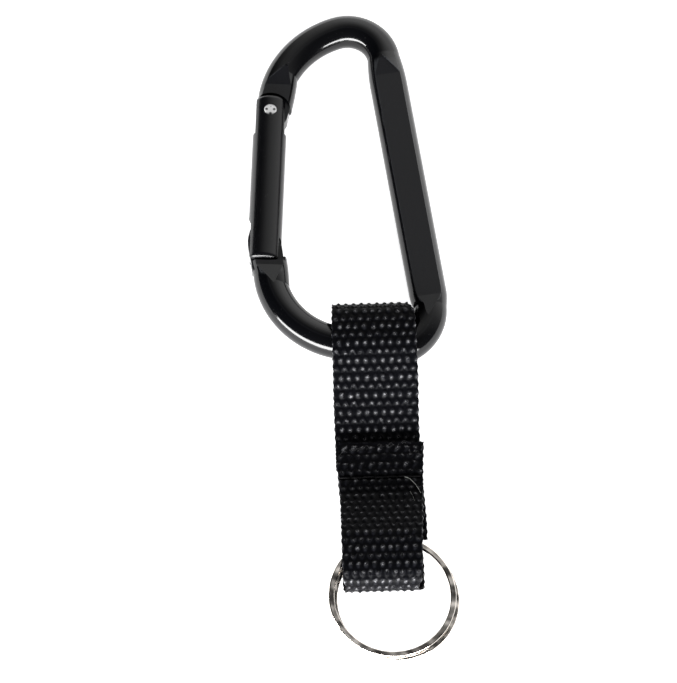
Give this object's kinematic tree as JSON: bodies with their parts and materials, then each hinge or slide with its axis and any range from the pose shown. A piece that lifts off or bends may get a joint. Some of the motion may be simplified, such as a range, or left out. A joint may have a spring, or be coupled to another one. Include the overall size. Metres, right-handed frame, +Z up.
{
  "type": "carabiner keyring",
  "caption": "Snap carabiner with a sprung gate, a folded and stitched webbing strap, and a split ring for keys.",
  "frame": {"origin": "under the middle of the whole keyring, on the table that it lies on", "axes": "+Y from the split ring to the carabiner's top, +X from the gate to the spine, +Z up from the table"},
  "size_m": [0.054, 0.1686, 0.0124],
  "materials": {
    "black_anodised": "glossy black anodised aluminium",
    "black_anodised_gate": "glossy black anodised aluminium",
    "rivet_steel": "bright rivet steel",
    "spring_steel": "bright spring steel",
    "webbing": "coarse black polypropylene weave",
    "thread": "black polyester thread",
    "nickel_plate": "polished nickel plate"
  },
  "bodies": {
    "carabiner": {"carabiner_body": "black_anodised"},
    "gate": {"gate": "black_anodised_gate", "hinge_rivet": "rivet_steel", "gate_spring": "spring_steel"},
    "plunger": {"spring_plunger": "spring_steel"},
    "strap": {"webbing_strap": "webbing", "strap_stitching": "thread"},
    "ring": {"split_ring": "nickel_plate"}
  },
  "joints": [
    {"name": "gate_hinge", "type": "hinge", "parent": "carabiner", "child": "gate", "pos_m": [-0.02293, 0.05617, 0.00471], "axis": [0, 0.0248, 0.9997], "range_deg": [0, 35], "stiffness_Nm_per_rad": 0.12, "springref_deg": -28.65},
    {"name": "plunger_slide", "type": "slide", "parent": "gate", "child": "plunger", "axis": [0, -0.9997, 0.0248], "range_m": [0, 0.001], "deforming": ["gate_spring"]},
    {"name": "strap_swing", "type": "hinge", "parent": "carabiner", "child": "strap", "pos_m": [0.00454, -0.00494, 0.0062], "axis": [0.9977, 0.068, 0], "range_deg": [-30, 30]},
    {"name": "ring_swing", "type": "hinge", "parent": "strap", "child": "ring", "pos_m": [0.00704, -0.05696, 0.0042], "axis": [0.9455, 0.3256, 0], "range_deg": [-45, 25]}
  ],
  "couplings": [
    {"joint": "plunger_slide", "follows": "gate_hinge", "m_per_rad": 0.0016}
  ]
}
